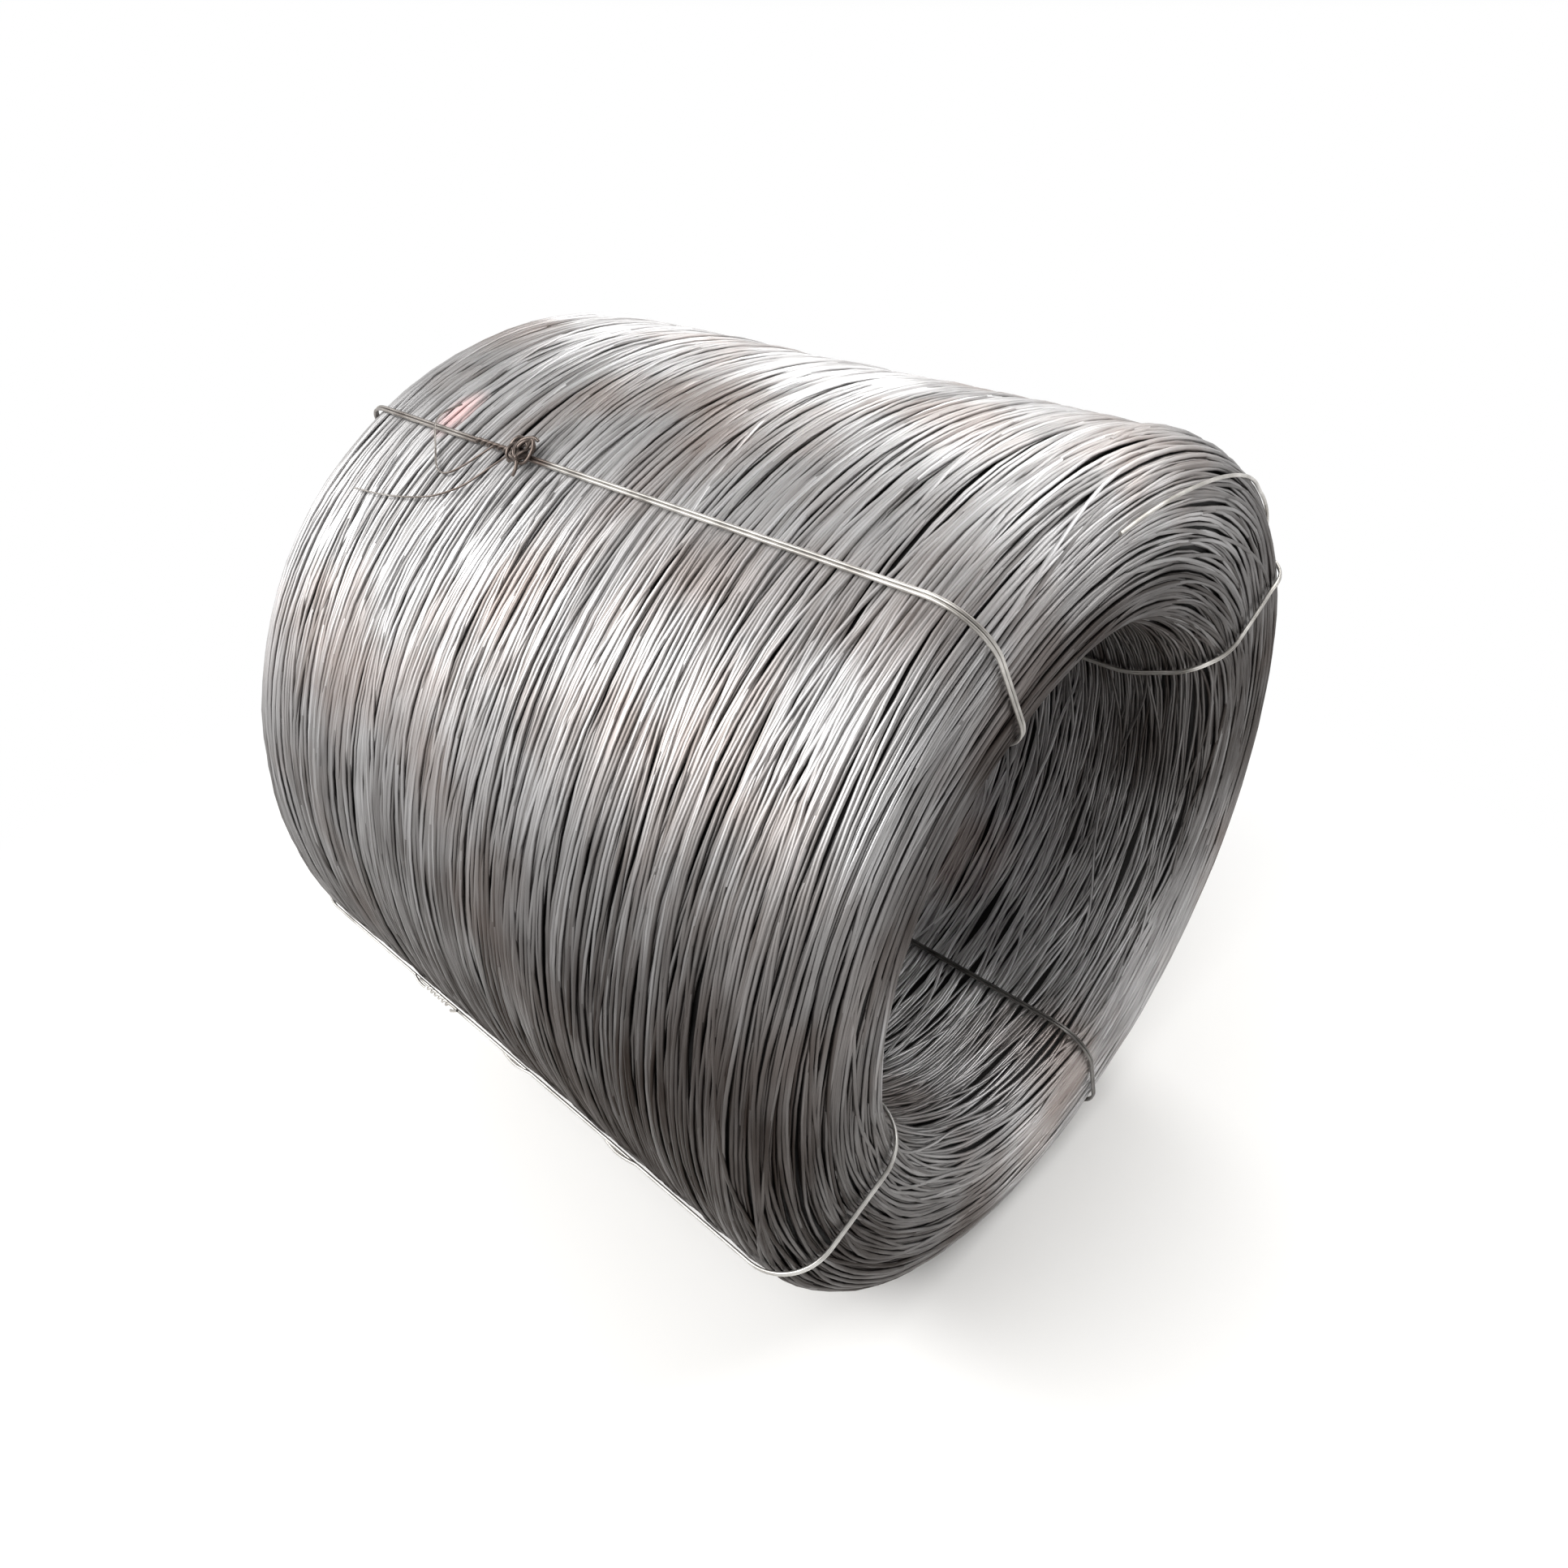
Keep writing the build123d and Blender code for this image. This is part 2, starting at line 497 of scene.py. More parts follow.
@dataclass(frozen=True)
class TieWireFinish:
    """Soft annealed binding wire: pale satin steel in dull patches, which can be brown with rust.

    The rust lies round one x along the coil, and less of it towards the far end from there. An x off the
    coil leaves the wire clean.
    """

    name: str
    pale: str = "CBC8C3"
    dull: str = "8B8782"
    rust: str = "574A43"
    patch_mm: float = 45.0
    shade_span: tuple[float, float] = (0.35, 0.65)
    rust_x: float = -1.0
    rust_reach: float = 0.07
    rust_fade: float = 0.03
    most_rust: float = 0.9
    rust_beyond: float = 0.5
    beyond_fade: float = 0.02
    roughness: float = 0.40
    metallic: float = 0.85

    def build(self) -> Material:
        """Makes the material.

        Returns:
            A satin metal, with its rust.
        """
        material, tree = new_material(self.name)
        place = add_node(tree, "ShaderNodeTexCoord").outputs["Object"]
        patches = add_node(
            tree, "ShaderNodeTexNoise", {"Vector": place, "Scale": 1 / (self.patch_mm * MM), "Detail": 3.0}
        )
        shade = add_node(tree, "ShaderNodeMapRange", [patches, *self.shade_span, 0.0, 1.0])
        colour = add_node(
            tree, "ShaderNodeMix", [shade, linear(self.dull), linear(self.pale)], data_type="RGBA"
        )
        rusty = self.rusty(tree, place)
        colour = add_node(tree, "ShaderNodeMix", [rusty, colour, linear(self.rust)], data_type="RGBA")
        metal = {"Base Color": colour, "Roughness": self.roughness, "Metallic": self.metallic}
        steel = add_node(tree, "ShaderNodeBsdfPrincipled", metal)
        add_node(tree, "ShaderNodeOutputMaterial", {"Surface": steel})
        return material

    def rusty(self, tree: NodeTree, place: Any) -> Node:
        """Adds the share of rust.

        Args:
            tree: The material's tree.
            place: Socket that gives the place on the piece.

        Returns:
            The node that gives the share.
        """
        along = add_node(tree, "ShaderNodeSeparateXYZ", [place]).outputs["X"]
        off = add_node(tree, "ShaderNodeMath", [along, self.rust_x], operation="SUBTRACT")
        off = add_node(tree, "ShaderNodeMath", [off], operation="ABSOLUTE")
        start, stop = self.rust_x - self.beyond_fade, self.rust_x + self.beyond_fade
        beyond = add_node(tree, "ShaderNodeMapRange", [along, start, stop, self.rust_beyond, 0.0])
        edge = self.rust_reach + self.rust_fade
        return add_node(tree, "ShaderNodeMapRange", [off, self.rust_reach, edge, self.most_rust, beyond])


@dataclass(frozen=True)
class Wander:
    """One way in which the rod strays from its even row, as smooth noise round and along the coil.

    Around and across give how fast it changes round the coil and from turn to turn. Its reach is in metres.
    """

    around: float
    across: float
    reach: float
    seed: float


@dataclass(frozen=True)
class WindingStyle:
    """How the rod is wound in one layer, with the depth of its ridges and the sides of the rod's section.

    The rod strays from its pitch along the outline, and from its mean depth.
    """

    pitch: float
    depth: float
    ridge_depth: float
    sides: int
    along: tuple[Wander, ...]
    deeper: tuple[Wander, ...]


TOP_LAYER = WindingStyle(
    pitch=5.2 * MM,
    depth=2.4 * MM,
    ridge_depth=2.5 * MM,
    sides=6,
    along=(
        Wander(around=0.8, across=0.05, reach=70 * MM, seed=1.0),
        Wander(around=1.5, across=0.9, reach=42 * MM, seed=2.0),
        Wander(around=4.5, across=1.2, reach=9 * MM, seed=3.0),
    ),
    deeper=(
        Wander(around=1.4, across=0.2, reach=7 * MM, seed=4.0),
        Wander(around=3.6, across=1.1, reach=4.5 * MM, seed=5.0),
        Wander(around=8.0, across=1.3, reach=2.5 * MM, seed=6.0),
    ),
)

LOOSE_LAYER = WindingStyle(
    pitch=44 * MM,
    depth=1.5 * MM,
    ridge_depth=2.5 * MM,
    sides=6,
    along=(
        Wander(around=1.1, across=0.8, reach=150 * MM, seed=21.0),
        Wander(around=3.0, across=1.2, reach=16 * MM, seed=22.0),
    ),
    deeper=(Wander(around=3.0, across=1.0, reach=7 * MM, seed=25.0),),
)

UNDER_LAYER = WindingStyle(
    pitch=5.5 * MM,
    depth=5.6 * MM,
    ridge_depth=2.5 * MM,
    sides=4,
    along=(
        Wander(around=0.8, across=0.05, reach=70 * MM, seed=11.0),
        Wander(around=1.4, across=0.9, reach=30 * MM, seed=12.0),
    ),
    deeper=(Wander(around=3.2, across=1.1, reach=4 * MM, seed=15.0),),
)


class RodWinding:
    """Geometry Nodes that wind rod round the coil's section, and the meshes that they make."""

    def __init__(self, section: CoilSection, style: WindingStyle, name: str) -> None:
        """Builds the node tree for one layer.

        Args:
            section: The section that the layer is wound on.
            style: The layer's pitch, depth and looseness.
            name: Name of the node tree.
        """
        self.section = section
        self.style = style
        self.tree = bpy.data.node_groups.new(name, "GeometryNodeTree")
        self.sockets: dict[str, str] = {}
        self._build()

    def _noise(self, around: Any, turn: Any, wander: Wander) -> Node:
        """Adds one wander's distance as nodes.

        Args:
            around: The unit vector that points round the coil.
            turn: The turn's number, with its fraction.
            wander: The wander to add.

        Returns:
            The node that gives the distance, centred on zero.
        """
        tree = self.tree
        ring = add_node(tree, "ShaderNodeVectorMath", {0: around, "Scale": wander.around}, operation="SCALE")
        row = add_node(tree, "ShaderNodeMath", [turn, wander.across], operation="MULTIPLY")
        row = add_node(tree, "ShaderNodeCombineXYZ", {"Z": row})
        spot = add_node(tree, "ShaderNodeVectorMath", [ring, row], operation="ADD")
        cloud = add_node(
            tree,
            "ShaderNodeTexNoise",
            {"Vector": spot, "W": wander.seed, "Scale": 1.0, "Detail": 0.0},
            noise_dimensions="4D",
        )
        centred = add_node(tree, "ShaderNodeMath", [cloud, 0.5], operation="SUBTRACT")
        return add_node(tree, "ShaderNodeMath", [centred, wander.reach], operation="MULTIPLY")

    def _build(self) -> None:
        """Lays out the whole tree."""
        tree, section, style = self.tree, self.section, self.style
        inputs = (
            ("Section outline", "NodeSocketGeometry", None),
            ("Turns", "NodeSocketInt", 10),
            ("Steps per turn", "NodeSocketInt", 96),
            ("First turn", "NodeSocketFloat", 0.0),
            ("Pitch", "NodeSocketFloat", style.pitch),
            ("Rod radius", "NodeSocketFloat", ROD_D / 2),
            ("Depth", "NodeSocketFloat", style.depth),
            ("Axis height", "NodeSocketFloat", section.axis_height),
            ("Finish", "NodeSocketMaterial", None),
        )
        for name, kind, value in inputs:
            socket = tree.interface.new_socket(name=name, in_out="INPUT", socket_type=kind)
            if value is not None:
                socket.default_value = value
            self.sockets[name] = socket.identifier
        tree.interface.new_socket(name="Turns of rod", in_out="OUTPUT", socket_type="NodeSocketGeometry")
        given = add_node(tree, "NodeGroupInput").outputs

        outline = given["Section outline"]
        length = add_node(tree, "GeometryNodeCurveLength", {"Curve": outline})

        count = add_node(
            tree, "ShaderNodeMath", [given["Turns"], given["Steps per turn"]], operation="MULTIPLY"
        )
        line = add_node(tree, "GeometryNodeCurvePrimitiveLine")
        rod = add_node(tree, "GeometryNodeResampleCurve", {"Curve": line, "Count": count})
        index = add_node(tree, "GeometryNodeInputIndex")
        part = add_node(tree, "ShaderNodeMath", [index, given["Steps per turn"]], operation="DIVIDE")
        turn = add_node(tree, "ShaderNodeMath", [part, given["First turn"]], operation="ADD")
        angle = add_node(tree, "ShaderNodeMath", [turn, math.tau], operation="MULTIPLY")
        sine = add_node(tree, "ShaderNodeMath", [angle], operation="SINE")
        cosine = add_node(tree, "ShaderNodeMath", [angle], operation="COSINE")
        around = add_node(tree, "ShaderNodeCombineXYZ", [cosine, sine])

        travel = add_node(tree, "ShaderNodeMath", [turn, given["Pitch"]], operation="MULTIPLY")
        for wander in style.along:
            stray = self._noise(around, turn, wander)
            travel = add_node(tree, "ShaderNodeMath", [travel, stray], operation="ADD")
        sink = given["Depth"]
        for wander in style.deeper:
            stray = self._noise(around, turn, wander)
            sink = add_node(tree, "ShaderNodeMath", [sink, stray], operation="ADD")
        sink = add_node(tree, "ShaderNodeMath", [sink, 0.0], operation="MAXIMUM")

        share = add_node(tree, "ShaderNodeMath", [travel, length], operation="DIVIDE")
        share = add_node(tree, "ShaderNodeMath", [share], operation="FRACT")
        sample = add_node(
            tree, "GeometryNodeSampleCurve", {"Curves": outline, "Factor": share}, mode="FACTOR"
        )
        heading = add_node(tree, "ShaderNodeSeparateXYZ", [sample.outputs["Tangent"]])
        back = add_node(tree, "ShaderNodeMath", [heading.outputs["X"], -1.0], operation="MULTIPLY")
        outward = add_node(tree, "ShaderNodeCombineXYZ", {"X": heading.outputs["Y"], "Y": back})
        inward = add_node(tree, "ShaderNodeMath", [sink, -1.0], operation="MULTIPLY")
        shift = add_node(tree, "ShaderNodeVectorMath", {0: outward, "Scale": inward}, operation="SCALE")
        spot = add_node(tree, "ShaderNodeVectorMath", [sample.outputs["Position"], shift], operation="ADD")
        spot = add_node(tree, "ShaderNodeSeparateXYZ", [spot])
        y = add_node(tree, "ShaderNodeMath", [spot.outputs["Y"], sine], operation="MULTIPLY")
        z = add_node(tree, "ShaderNodeMath", [spot.outputs["Y"], cosine], operation="MULTIPLY")
        z = add_node(tree, "ShaderNodeMath", [z, given["Axis height"]], operation="ADD")
        point = add_node(tree, "ShaderNodeCombineXYZ", [spot.outputs["X"], y, z])
        rod = add_node(tree, "GeometryNodeSetPosition", {"Geometry": rod, "Position": point})

        cloud = add_node(tree, "ShaderNodeTexNoise", {"W": turn, "Scale": TONE_CHANGE}, noise_dimensions="1D")
        toned = {"Geometry": rod, "Name": TONE, "Value": cloud}
        rod = add_node(tree, "GeometryNodeStoreNamedAttribute", toned, data_type="FLOAT", domain="POINT")
        round_rod = {"Resolution": style.sides, "Radius": given["Rod radius"]}
        ring = add_node(tree, "GeometryNodeCurvePrimitiveCircle", round_rod)
        mesh = add_node(
            tree, "GeometryNodeCurveToMesh", {"Curve": rod, "Profile Curve": ring, "Fill Caps": True}
        )
        mesh = add_node(tree, "GeometryNodeSetShadeSmooth", {"Geometry": mesh})
        mesh = add_node(tree, "GeometryNodeRealizeInstances", [mesh])
        mesh = add_node(tree, "GeometryNodeSetMaterial", {"Geometry": mesh, "Material": given["Finish"]})
        add_node(tree, "NodeGroupOutput", [mesh])

    def outline_curve(self, name: str) -> Curve:
        """Draws the outline that the rod's middle follows, with the ridges of the section.

        Args:
            name: Name of the curve.

        Returns:
            A closed curve whose X is x and whose Y is the distance from the axis.
        """
        curve = bpy.data.curves.new(name, "CURVE")
        curve.dimensions = "3D"
        points = self.section.outline(-ROD_D / 2, OUTLINE_STEP, self.style.ridge_depth)
        add_spline(curve, "POLY", [(x, r, 0.0) for x, r in points], closed=True)
        return curve

    def wind(self, name: str, first: float, turns: int, steps: int, finish: Material) -> Object:
        """Winds some turns and keeps them as a plain mesh.

        Args:
            name: Name of the piece.
            first: Number of the first turn, counted round the section's outline.
            turns: How many turns to wind.
            steps: Points in one turn.
            finish: The rod's material.

        Returns:
            The new piece.
        """
        holder = add_object(name + "_path", self.outline_curve(name + "_path"))
        modifier = holder.modifiers.new("winding", "NODES")
        modifier.node_group = self.tree
        given = {"Turns": turns, "Steps per turn": steps, "First turn": first, "Finish": finish}
        for key, value in given.items():
            modifier[self.sockets[key]] = value
        return keep_mesh(name, holder)


@dataclass(frozen=True)
class Stretch:
    """One stretch of the section's outline, as a share of it, that is wound as a piece of its own."""

    name: str
    share: float
    steps: int


@dataclass(frozen=True)
class CoilOfRod:
    """All the turns that show, in pieces, and the dark core under them."""

    section: CoilSection
    barrel_steps: int = 96
    far_end_steps: int = 84
    bore_steps: int = 72
    beneath_barrel_steps: int = 64
    beneath_bore_steps: int = 60
    core_inset: float = 14 * MM
    core_step: float = 40 * MM
    core_sides: int = 96

    def stretches(self) -> list[Stretch]:
        """Splits the outline, from the +X end of the barrel round by the far end, for the top layer.

        Returns:
            The stretches in order.
        """
        barrel = self.section.barrel / self.section.perimeter
        end = self.section.end / self.section.perimeter
        thirds = ("turns_barrel_near", "turns_barrel_middle", "turns_barrel_far")
        return [
            *(Stretch(name, barrel / 3, self.barrel_steps) for name in thirds),
            Stretch("turns_far_end", end, self.far_end_steps),
            Stretch("turns_bore_far", barrel / 2, self.bore_steps),
            Stretch("turns_bore_near", barrel / 2, self.bore_steps),
            Stretch("turns_near_end", end, self.barrel_steps),
        ]

    def build(self) -> list[Object]:
        """Winds the three layers and turns the core.

        Returns:
            The pieces, all riding on the coil's body.
        """
        rod = BrightRodFinish().build()
        pieces = [self.dark_core(CoreFinish().build())]
        total = self.section.perimeter
        top = RodWinding(self.section, TOP_LAYER, "top_layer")
        all_turns = round(total / TOP_LAYER.pitch)
        done = 0.0
        share = 0.0
        for stretch in self.stretches():
            share += stretch.share
            turns = round(share * all_turns) - round(done)
            pieces.append(top.wind(stretch.name, done, turns, stretch.steps, rod))
            done += turns
        under = RodWinding(self.section, UNDER_LAYER, "under_layer")
        half = round(total / UNDER_LAYER.pitch / 2)
        pieces.append(under.wind("turns_beneath_barrel", 0.0, half, self.beneath_barrel_steps, rod))
        pieces.append(under.wind("turns_beneath_bore", half, half, self.beneath_bore_steps, rod))
        loose = RodWinding(self.section, LOOSE_LAYER, "loose_layer")
        turns = round(total / LOOSE_LAYER.pitch)
        pieces.append(loose.wind("turns_crossing", 0.0, turns, self.barrel_steps, rod))
        for piece in pieces:
            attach(piece, "root")
        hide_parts(COIL_NODE)
        return pieces

    def dark_core(self, finish: Material) -> Object:
        """Turns a plain ring just below the layers of rod, which stands for the turns deep inside.

        Args:
            finish: The core's material.

        Returns:
            The core.
        """
        mesh = bmesh.new()
        outline = self.section.outline(-self.core_inset, self.core_step)
        rings = []
        for i in range(self.core_sides):
            angle = math.tau * i / self.core_sides
            rings.append([mesh.verts.new(self.section.place(x, r, angle)) for x, r in outline])
        for i, ring in enumerate(rings):
            after = rings[(i + 1) % self.core_sides]
            for j in range(len(ring)):
                k = (j + 1) % len(ring)
                mesh.faces.new((ring[j], ring[k], after[k], after[j]))
        bmesh.ops.recalc_face_normals(mesh, faces=mesh.faces)
        for face in mesh.faces:
            face.smooth = True
        data = bpy.data.meshes.new("inner_turns")
        mesh.to_mesh(data)
        mesh.free()
        data.materials.append(finish)
        return add_object("inner_turns", data)


@dataclass(frozen=True)
class Crossing:
    """A place on the barrel, by its x in metres, where the two strands of a tie wind about each other."""

    x: float
    length: float
    half_turns: int


@dataclass(frozen=True)
class LooseWire:
    """A free end or loop of tie wire, through points of x in mm, angle in degrees and radius in mm."""

    points: tuple[tuple[float, float, float], ...]
    thickness: float = 1.0


@dataclass(frozen=True)
class TieWire:
    """One tie: two strands round the ring, twisted together where they are closed, and their free ends.

    Its drift gives how many degrees it leaves its angle by, at distances in mm down the +X end from the
    barrel. A distance below 0 lies back along the barrel.
    """

    node: str
    angle: float
    crossings: tuple[Crossing, ...]
    loose: tuple[LooseWire, ...]
    finish: TieWireFinish
    drift: tuple[tuple[float, float], ...] = ()
    strand_d: float = 4.5 * MM
    gap: float = 4.7 * MM
    clearance: float = 0.3 * MM
    step: float = 7 * MM
    steps_per_half_turn: int = 6

    def drift_at(self, down: float) -> float:
        """Finds how far the tie lies off its angle.

        Args:
            down: How far down the +X end, in mm.

        Returns:
            The drift in degrees.
        """
        for (start, first), (stop, last) in zip(self.drift, self.drift[1:]):
            if start <= down <= stop:
                share = (down - start) / (stop - start)
                return first + (last - first) * share * share * (3 - 2 * share)
        return 0.0

    def phase(self, section: CoilSection, distance: float) -> float:
        """Finds how far the strands have wound about each other.

        Args:
            section: The coil's section.
            distance: How far round the outline.

        Returns:
            The angle in radians.
        """
        wound = 0.0
        for crossing in self.crossings:
            start = section.half_length - section.corner_r - crossing.x - crossing.length / 2
            share = min(max((distance - start) / crossing.length, 0.0), 1.0)
            wound += math.pi * crossing.half_turns * share
        return wound

    def distances(self, section: CoilSection) -> list[float]:
        """Spaces the points of a strand, close together where it twists.

        Args:
            section: The coil's section.

        Returns:
            Distances round the outline.
        """
        marks = []
        distance = 0.0
        while distance < section.perimeter:
            marks.append(distance)
            x = section.half_length - section.corner_r - distance
            step = self.step
            for crossing in self.crossings:
                if abs(x - crossing.x) < crossing.length / 2 + self.step:
                    step = min(step, crossing.length / crossing.half_turns / self.steps_per_half_turn)
            distance += step
        return marks

    def strand(self, section: CoilSection, side: int) -> list[Vector]:
        """Middle line of one strand, all the way round.

        Args:
            section: The coil's section.
            side: 1 or -1.

        Returns:
            Points of a closed line.
        """
        seat = self.clearance + self.strand_d / 2
        points = []
        for distance in self.distances(section):
            spot, outward = section.surface(distance)
            phase = self.phase(section, distance)
            rise = seat + self.gap / 2 * (abs(math.sin(phase)) + side * math.sin(phase))
            x, r = spot + outward * rise
            down = section.perimeter - distance if distance > section.perimeter / 2 else -distance
            angle = math.radians(self.angle + self.drift_at(down / MM))
            points.append(section.place(x, r, angle + side * self.gap / 2 * math.cos(phase) / r))
        return points

    def build(self, section: CoilSection) -> Object:
        """Draws the strands and the free ends as round wire, which takes the place of the tie's node.

        Args:
            section: The coil's section.

        Returns:
            The finished piece.
        """
        curve = bpy.data.curves.new(self.node + "_line", "CURVE")
        curve.dimensions = "3D"
        curve.bevel_depth = self.strand_d / 2
        curve.bevel_resolution = 2
        curve.use_fill_caps = True
        curve.resolution_u = 6
        for side in (-1, 1):
            add_spline(curve, "POLY", self.strand(section, side), closed=True)
        for wire in self.loose:
            places = [section.place(x * MM, r * MM, math.radians(angle)) for x, angle, r in wire.points]
            spline = add_spline(curve, "NURBS", places)
            for point in spline.points:
                point.radius = wire.thickness
            spline.order_u = 4
            spline.use_endpoint_u = True
        piece = keep_mesh(self.node + "_strands", add_object(self.node + "_line", curve))
        piece.data.materials.clear()
        piece.data.materials.append(self.finish.build())
        for face in piece.data.polygons:
            face.use_smooth = True
        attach(piece, "root")
        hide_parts(self.node)
        return piece


def knot(x: float, angle: float, reach: float) -> LooseWire:
    """Bends the cut ends of a tie into a tight tangle that lies on the barrel.

    Args:
        x: Middle of the tangle, in mm.
        angle: Its angle, in degrees.
        reach: How far it spreads to each side, in mm.

    Returns:
        The wire of the tangle.
    """
    steps, middle, rise = 44, 640.0, 8.0
    points = []
    for i in range(steps + 1):
        turn = math.tau * i / steps
        aside = math.degrees(reach * math.sin(5 * turn + 0.4) / middle)
        along = x + reach * (0.8 * math.cos(3 * turn) + 0.2 * math.cos(turn))
        points.append((along, angle + aside, middle - 1.0 + rise * math.sin(7 * turn)))
    return LooseWire(tuple(points))


def wrap(start: float, stop: float, angle: float, radius: float, turns: int) -> LooseWire:
    """Winds a wire tightly round a tie on the barrel.

    Args:
        start: x where the wrap starts, in mm.
        stop: x where it stops, in mm.
        angle: The tie's angle, in degrees.
        radius: Radius of the wrap, in mm.
        turns: How many times it goes round.

    Returns:
        The wire of the wrap.
    """
    seat, steps = 626.0, 8
    middle = seat + radius
    points = []
    for i in range(turns * steps + 1):
        turn = math.tau * i / steps
        aside = math.degrees(radius * math.cos(turn) / middle)
        x = start + (stop - start) * i / (turns * steps)
        points.append((x, angle + aside, middle + radius * math.sin(turn)))
    return LooseWire(tuple(points))


TIES = (
    TieWire(
        node="tie_wire_top",
        angle=-31.0,
        crossings=(Crossing(-0.205, 0.10, 8),),
        loose=(
            wrap(-172.0, -152.0, -31.0, 7.5, 3),
            knot(-150.0, -31.0, 18.0),
            LooseWire(
                (
                    (-160, -31.9, 640), (-176, -33.0, 634), (-192, -34.1, 629), (-208, -36.7, 628),
                    (-221, -38.0, 628), (-255, -40.1, 628), (-300, -41.4, 629), (-361, -42.5, 629),
                    (-421, -42.9, 629),
                ),
                0.6,
            ),
            LooseWire(
                (
                    (-205, -31.6, 637), (-225, -33.6, 632), (-248, -36.0, 628), (-268, -37.0, 628),
                    (-290, -36.4, 628), (-312, -34.4, 630), (-338, -32.0, 636), (-353, -30.6, 639),
                    (-357, -28.6, 634), (-350, -26.6, 628),
                ),
                0.6,
            ),
            LooseWire(((-168, -31.2, 640), (-158, -29.6, 644), (-146, -28.6, 643), (-138, -29.0, 637))),
            LooseWire(((-152, -31.2, 641), (-140, -32.2, 642), (-134, -33.2, 636), (-140, -34.0, 630))),
        ),
        finish=TieWireFinish("annealed_binding_wire_rusty_end", rust_x=-0.182),
    ),
    TieWire(
        node="tie_wire_back",
        angle=61.0,
        crossings=(Crossing(0.448, 0.06, 6), Crossing(-0.10, 0.07, 2)),
        loose=(
            wrap(470.0, 486.0, 57.5, 6.5, 2),
            knot(484.0, 57.0, 12.0),
            LooseWire(
                (
                    (478, 58.0, 640), (490, 57.5, 646), (498, 56.5, 655), (501, 53.5, 662),
                    (502, 49.5, 660), (507, 45.5, 646), (518, 41.5, 629), (533, 36.0, 614),
                    (546, 29.0, 601), (555, 20.0, 585), (561, 9.0, 570), (562, -2.0, 561),
                    (562, -8.0, 556),
                ),
                1.15,
            ),
            LooseWire(((484, 58.4, 640), (495, 60.0, 642), (503, 61.6, 634), (507, 62.4, 626))),
            LooseWire(((470, 58.0, 640), (486, 56.6, 645), (499, 57.6, 641), (508, 59.4, 630))),
        ),
        finish=TieWireFinish("annealed_binding_wire", pale="DAD7D2", dull="A5A19B"),
        drift=((-330, 0.0), (-60, -3.5), (40, -5.0), (130, -8.0), (260, -9.5), (420, 0.0)),
    ),
    TieWire(
        node="tie_wire_under",
        angle=160.0,
        crossings=(Crossing(-0.15, 0.06, 6),),
        loose=(
            LooseWire(((-118, 160.0, 634), (-106, 161.2, 636), (-94, 162.4, 633), (-84, 163.4, 629))),
            LooseWire(((-182, 160.0, 634), (-194, 158.8, 636), (-206, 157.6, 633), (-216, 156.6, 629))),
        ),
        # Its darker colours are painted shade, where the tie runs through the bore.
        finish=TieWireFinish("annealed_binding_wire_in_painted_shade", pale="8E8B88", dull="5C5957"),
    ),
    TieWire(
        node="tie_wire_front",
        angle=-113.0,
        crossings=(Crossing(0.25, 0.07, 1), Crossing(0.02, 0.07, 1), Crossing(-0.18, 0.06, 6)),
        loose=(
            LooseWire(((-140, -113.0, 634), (-131, -112.4, 635), (-124, -112.0, 632), (-118, -111.8, 629))),
            LooseWire(((-212, -113.0, 633), (-221, -112.5, 634), (-228, -112.1, 632), (-234, -111.8, 629))),
        ),
        finish=TieWireFinish("annealed_binding_wire_bright", pale="DAD8D4", dull="A9A6A1"),
    ),
)


@dataclass(frozen=True)
class Lamp:
    """One soft lamp: where it hangs, its width and height in metres, and its power in watts."""

    name: str
    place: tuple[float, float, float]
    size: tuple[float, float]
    power: float


LAMPS = (
    Lamp("lamp_over_back", (0.34, 2.35, 3.7), (6.0, 1.4), 125.0),
    Lamp("lamp_right_back", (2.9, 2.9, 2.6), (1.2, 0.8), 20.0),
    Lamp("lamp_front_left", (-1.0, -3.66, 4.03), (8.0, 2.0), 410.0),
)


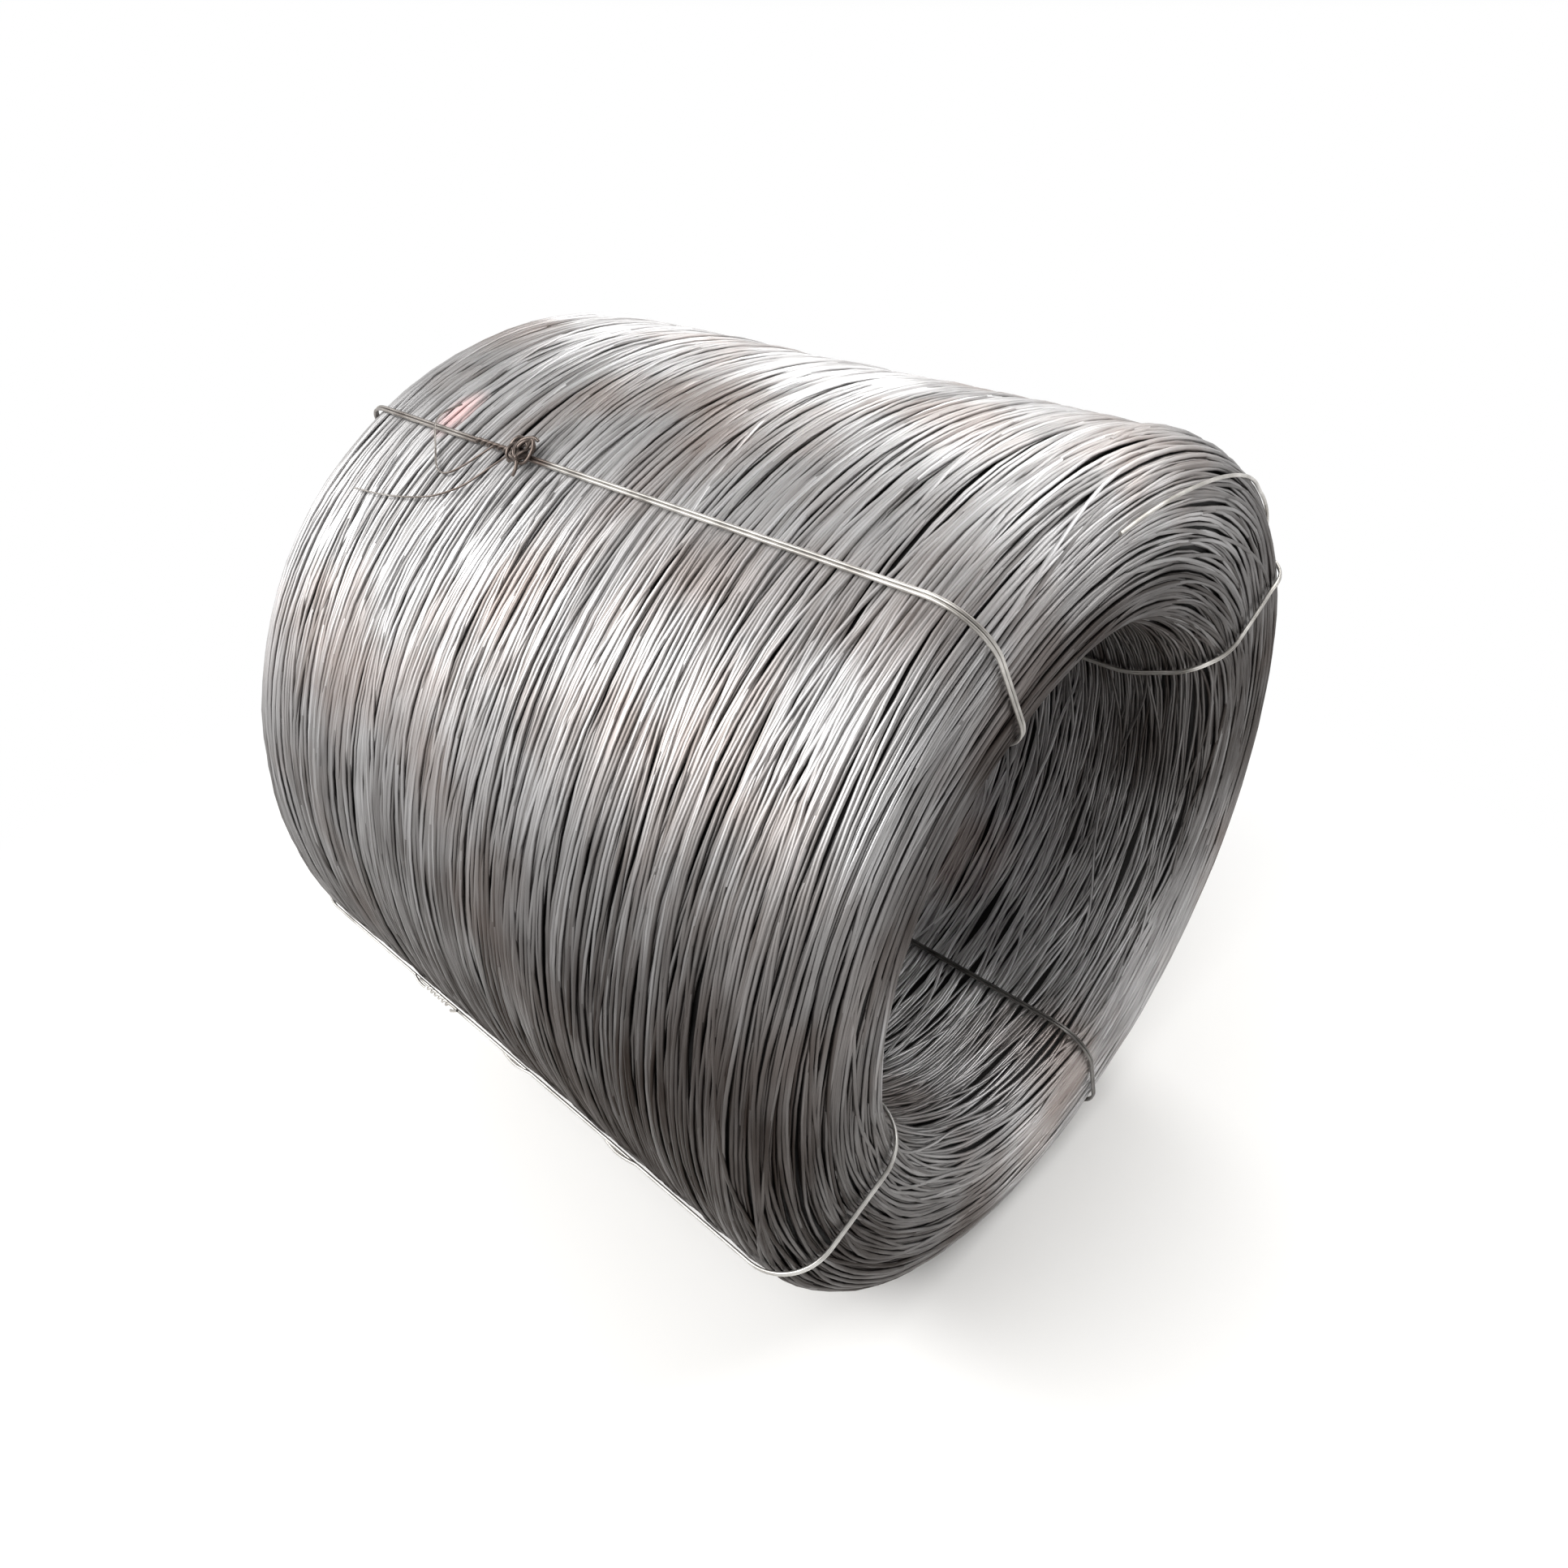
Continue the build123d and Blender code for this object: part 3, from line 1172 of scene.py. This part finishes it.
@dataclass(frozen=True)
class Studio:
    """Pale floor, plain soft light and the camera.

    The camera's angles are in degrees. Its distance and its shifts to the right and up are in outer radii
    of the coil, and its focal length is in pixels of the photograph's frame.
    """

    section: CoilSection
    azimuth: float = 42.8
    elevation: float = 32.9
    roll: float = 0.3
    distance: float = 2.961
    shift_right: float = 0.010
    shift_up: float = -0.067
    focal_px: float = 1381.0
    frame_px: float = 1932.0
    sensor_mm: float = 36.0
    floor_colour: str = "F6F5F3"
    floor_size: float = 200.0
    floor_fade: tuple[float, float] = (0.8, 2.0)
    sky_heights: tuple[float, float] = (0.03, 0.25)
    sky_across: tuple[float, float] = (-0.5, 0.5)
    sky_strengths: tuple[float, float] = (0.60, 0.18)

    @property
    def centre(self) -> Vector:
        """Middle of the coil."""
        return Vector((0.0, 0.0, self.section.axis_height))

    def camera(self) -> None:
        """Sets the camera at the photograph's viewing angle."""
        azimuth, elevation, roll = (math.radians(a) for a in (self.azimuth, self.elevation, self.roll))
        flat = math.cos(elevation)
        back = Vector((math.sin(azimuth) * flat, -math.cos(azimuth) * flat, math.sin(elevation)))
        right = Vector((math.cos(azimuth), math.sin(azimuth), 0.0))
        up = back.cross(right)
        data = bpy.data.cameras.new("camera")
        data.sensor_width = self.sensor_mm
        data.lens = self.sensor_mm * self.focal_px / self.frame_px
        data.clip_start = 0.01
        camera = add_object("camera", data)
        turn = Matrix((right, up, back)).transposed() @ Matrix.Rotation(roll, 3, "Z")
        away = self.distance * back + self.shift_right * right + self.shift_up * up
        place = self.centre + self.section.outer_r * away
        camera.matrix_world = Matrix.Translation(place) @ turn.to_4x4()
        bpy.context.scene.camera = camera

    def floor(self) -> None:
        """Lays a wide pale floor, which the coil rests on and which fades to white far away."""
        bpy.ops.mesh.primitive_plane_add(size=self.floor_size, location=(0.0, 0.0, 0.0))
        floor = bpy.context.object
        floor.name = "floor"
        material, tree = new_material("pale_floor")
        paint = add_node(tree, "ShaderNodeBsdfDiffuse", {"Color": linear(self.floor_colour)})
        white = add_node(tree, "ShaderNodeEmission", {"Color": linear(WHITE), "Strength": 1.0})
        place = add_node(tree, "ShaderNodeTexCoord").outputs["Object"]
        far = add_node(tree, "ShaderNodeVectorMath", [place], operation="LENGTH").outputs["Value"]
        fade = [far, *self.floor_fade, 0.0, 1.0]
        far = add_node(tree, "ShaderNodeMapRange", fade, interpolation_type="SMOOTHSTEP")
        rays = add_node(tree, "ShaderNodeLightPath").outputs
        seen = rays["Is Camera Ray"]
        for ray in ("Is Glossy Ray", "Is Transmission Ray"):
            seen = add_node(tree, "ShaderNodeMath", [seen, rays[ray]], operation="MAXIMUM")
        share = add_node(tree, "ShaderNodeMath", [far, seen], operation="MULTIPLY")
        surface = add_node(tree, "ShaderNodeMixShader", [share, paint, white])
        add_node(tree, "ShaderNodeOutputMaterial", {"Surface": surface})
        floor.data.materials.append(material)

    def sky(self) -> None:
        """Sets the plain soft sky, white at the floor's edge and weaker above, most of all over +X."""
        world = bpy.data.worlds.new("soft_sky")
        bpy.context.scene.world = world
        world.use_nodes = True
        tree = world.node_tree
        tree.nodes.clear()
        direction = add_node(tree, "ShaderNodeTexCoord").outputs["Generated"]
        toward = add_node(tree, "ShaderNodeSeparateXYZ", [direction]).outputs
        above = add_node(tree, "ShaderNodeMapRange", [toward["X"], *self.sky_across, *self.sky_strengths])
        ramp = add_node(tree, "ShaderNodeMapRange", [toward["Z"], *self.sky_heights, 1.0, above])
        sky = add_node(tree, "ShaderNodeBackground", {"Color": linear(WHITE), "Strength": ramp})
        add_node(tree, "ShaderNodeOutputWorld", {"Surface": sky})

    def lamps(self) -> None:
        """Hangs the lamps, which all face the coil."""
        for lamp in LAMPS:
            data = bpy.data.lights.new(lamp.name, "AREA")
            data.shape = "RECTANGLE"
            data.size, data.size_y = lamp.size
            data.energy = lamp.power
            light = add_object(lamp.name, data)
            light.location = lamp.place
            light.rotation_euler = (self.centre - Vector(lamp.place)).to_track_quat("-Z", "Y").to_euler()


def main() -> None:
    """Builds the coil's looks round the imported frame."""
    logging.basicConfig(level=logging.INFO)
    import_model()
    bpy.context.scene.view_settings.view_transform = "Standard"
    section = CoilSection.from_frame()
    studio = Studio(section)
    studio.camera()
    studio.floor()
    studio.sky()
    studio.lamps()
    for piece in CoilOfRod(section).build() + [tie.build(section) for tie in TIES]:
        LOG.info("%s has %d triangles", piece.name, sum(len(p.vertices) - 2 for p in piece.data.polygons))


if __name__ == "__main__":
    main()
